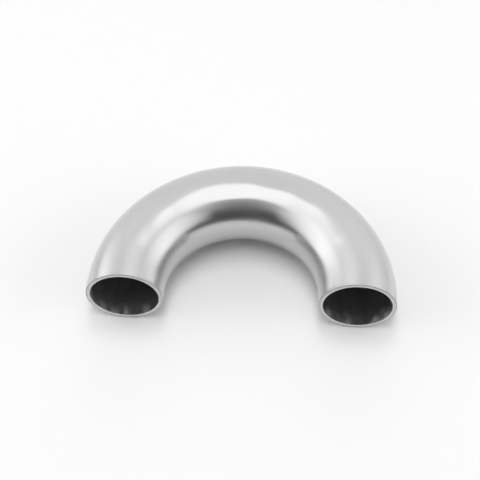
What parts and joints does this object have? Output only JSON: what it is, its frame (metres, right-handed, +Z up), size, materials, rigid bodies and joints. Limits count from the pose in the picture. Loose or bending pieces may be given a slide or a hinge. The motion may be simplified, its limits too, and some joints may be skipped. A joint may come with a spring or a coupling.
{
  "type": "return bend",
  "caption": "One-piece 180 degree butt-weld tube bend in polished stainless steel, with short straight ends and square deburred faces, that turns a pipe run back on itself.",
  "frame": {"origin": "on the floor, below the middle of the footprint of the bend as it lies flat", "axes": "+X across the legs, +Y from the open ends towards the crown of the bend, +Z up, square to the plane of the bend"},
  "size_m": [0.152, 0.08, 0.038],
  "materials": {
    "polished_steel": "satin polished"
  },
  "bodies": {
    "root": {"return_bend": "polished_steel"}
  },
  "joints": []
}
